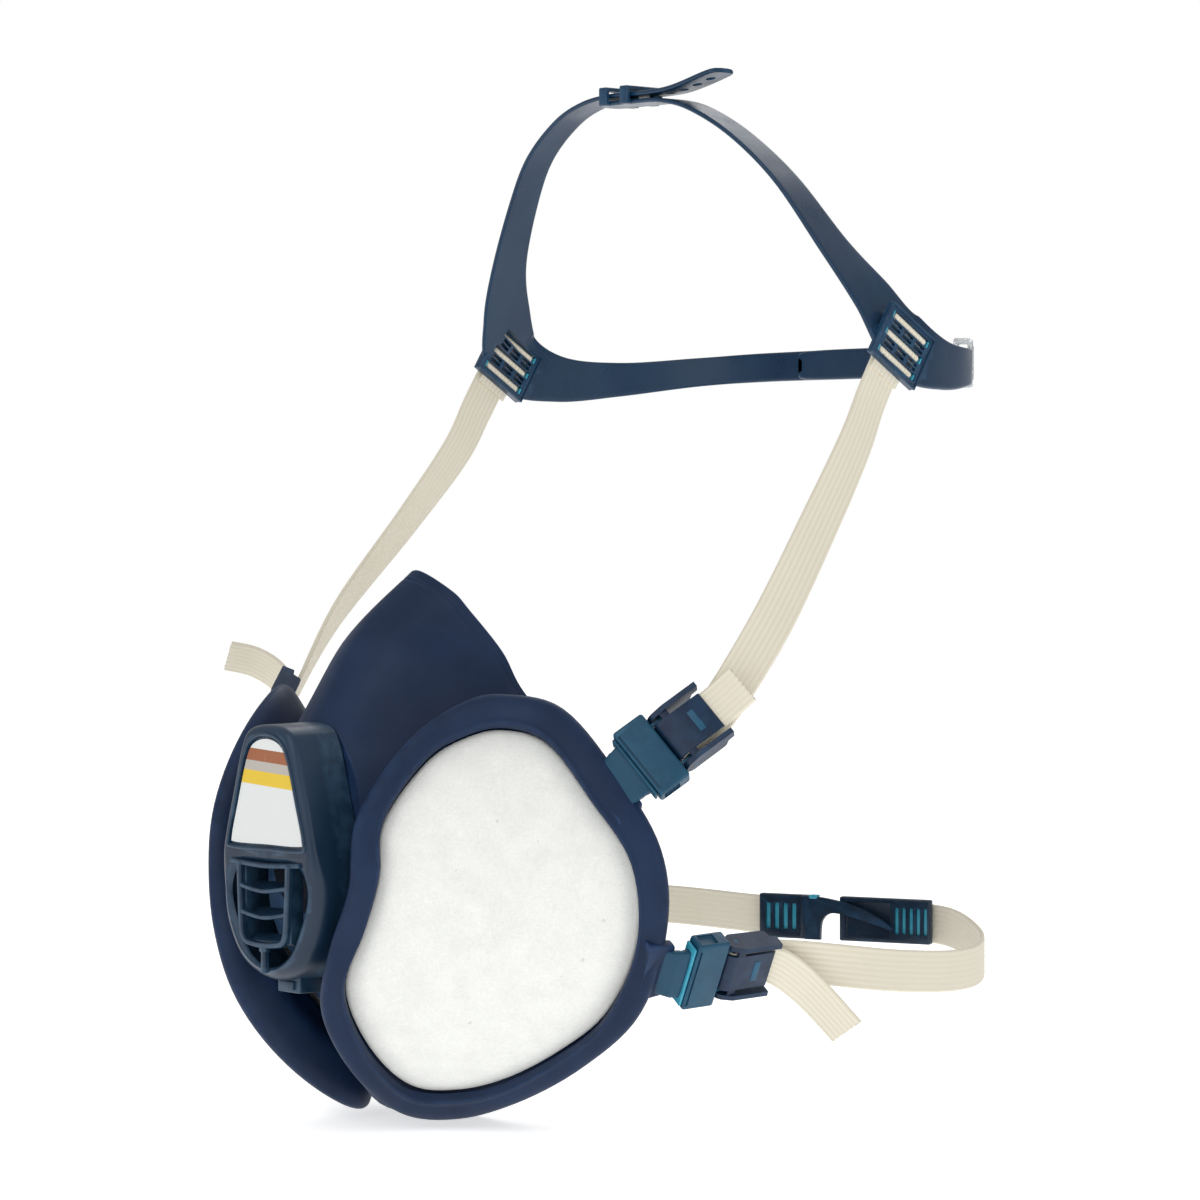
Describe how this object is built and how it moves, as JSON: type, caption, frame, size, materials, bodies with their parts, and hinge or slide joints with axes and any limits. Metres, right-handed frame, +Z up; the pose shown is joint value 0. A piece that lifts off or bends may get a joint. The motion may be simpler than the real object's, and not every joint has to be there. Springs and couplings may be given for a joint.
{
  "type": "reusable half-mask respirator",
  "caption": "Half-mask respirator with side filter cartridges, a front exhalation valve, elastic straps on tilt-lock buckles, a sliding head cradle and a neck clasp.",
  "frame": {"origin": "middle of the face seal's opening, where it meets the wearer's face", "axes": "+Y into the face, so the mask faces -Y; +X is the wearer's left; +Z up"},
  "size_m": [0.1993, 0.2054, 0.2653],
  "materials": {
    "navy_rubber": "matt moulded rubber, paler on worn edges",
    "seat_plastic": "satin moulded",
    "flap_rubber": "soft matt",
    "petrol_plastic": "semi-gloss moulded",
    "label": "satin film, plain colour bands",
    "fleece": "white felted fibre web",
    "sorbent": "granular",
    "grid_plastic": "satin moulded",
    "pale_plastic": "satin moulded",
    "teal_plastic": "semi-gloss moulded",
    "elastic": "ribbed woven elastic, undyed",
    "cradle_plastic": "glossy flexible strip",
    "clear_plastic": "clear moulded",
    "clasp_plastic": "semi-gloss moulded"
  },
  "bodies": {
    "mask": {"facepiece": "navy_rubber", "valve_seat": "seat_plastic", "valve_cover": "petrol_plastic", "cover_label": "label", "cartridge_case_left": "navy_rubber", "cartridge_case_right": "navy_rubber", "particulate_filter_left": "fleece", "particulate_filter_right": "fleece", "sorbent_bed_left": "sorbent", "sorbent_bed_right": "sorbent", "inner_grid_left": "grid_plastic", "inner_grid_right": "grid_plastic", "inhalation_seat_left": "pale_plastic", "inhalation_seat_right": "pale_plastic", "anchor_upper_left": "teal_plastic", "anchor_upper_right": "teal_plastic", "anchor_lower_left": "teal_plastic", "anchor_lower_right": "teal_plastic", "strap_upper_left": "elastic", "strap_upper_right": "elastic", "strap_lower_left": "elastic", "strap_lower_right": "elastic", "clasp_loop": "clasp_plastic"},
    "exhalation_flap": {"exhalation_flap": "flap_rubber"},
    "inhalation_flap_left": {"inhalation_flap_left": "flap_rubber"},
    "inhalation_flap_right": {"inhalation_flap_right": "flap_rubber"},
    "cradle_left": {"cradle_left": "cradle_plastic", "back_keeper": "clear_plastic"},
    "cradle_right": {"cradle_right": "cradle_plastic"},
    "neck_clasp_hook": {"clasp_hook": "clasp_plastic"},
    "buckle_upper_left": {"buckle_upper_left": "petrol_plastic"},
    "buckle_upper_right": {"buckle_upper_right": "petrol_plastic"},
    "buckle_lower_left": {"buckle_lower_left": "petrol_plastic"},
    "buckle_lower_right": {"buckle_lower_right": "petrol_plastic"}
  },
  "joints": [
    {"name": "exhalation_flap_lift", "type": "hinge", "parent": "mask", "child": "exhalation_flap", "pos_m": [0, -0.0463, 0.0176], "axis": [-1, 0, 0], "range_deg": [0, 13], "stiffness_Nm_per_rad": 0.002, "springref_deg": -11.46},
    {"name": "inhalation_flap_left_lift", "type": "hinge", "parent": "mask", "child": "inhalation_flap_left", "pos_m": [0.03436, -0.01457, 0.0108], "axis": [0.7071, 0.7071, 0], "range_deg": [0, 18], "stiffness_Nm_per_rad": 0.002, "springref_deg": -11.46},
    {"name": "inhalation_flap_right_lift", "type": "hinge", "parent": "mask", "child": "inhalation_flap_right", "pos_m": [-0.03436, -0.01457, 0.0108], "axis": [0.7071, -0.7071, 0], "range_deg": [0, 18], "stiffness_Nm_per_rad": 0.002, "springref_deg": -11.46},
    {"name": "buckle_upper_left_tilt", "type": "hinge", "parent": "mask", "child": "buckle_upper_left", "pos_m": [0.07809, 0.00463, 0.03508], "axis": [0.6388, 0.2319, -0.7335], "range_deg": [0, 35]},
    {"name": "buckle_upper_right_tilt", "type": "hinge", "parent": "mask", "child": "buckle_upper_right", "pos_m": [-0.07809, 0.00463, 0.03508], "axis": [0.6388, -0.2319, 0.7335], "range_deg": [0, 35]},
    {"name": "buckle_lower_left_tilt", "type": "hinge", "parent": "mask", "child": "buckle_lower_left", "pos_m": [0.08064, 0.01931, -0.0204], "axis": [-0.5278, 0.1754, -0.831], "range_deg": [0, 35]},
    {"name": "buckle_lower_right_tilt", "type": "hinge", "parent": "mask", "child": "buckle_lower_right", "pos_m": [-0.08064, 0.01931, -0.0204], "axis": [-0.5278, -0.1754, 0.831], "range_deg": [0, 35]},
    {"name": "cradle_left_size", "type": "slide", "parent": "mask", "child": "cradle_left", "axis": [1, 0, 0], "range_m": [0, 0.005]},
    {"name": "cradle_right_size", "type": "slide", "parent": "mask", "child": "cradle_right", "axis": [-1, 0, 0], "range_m": [0, 0.005]},
    {"name": "neck_clasp_release", "type": "slide", "parent": "mask", "child": "neck_clasp_hook", "axis": [0.9397, 0.3419, 0], "range_m": [0, 0.022], "deforming": ["strap_lower_left"]}
  ],
  "couplings": [
    {"joint": "cradle_right_size", "follows": "cradle_left_size", "ratio": 1}
  ]
}
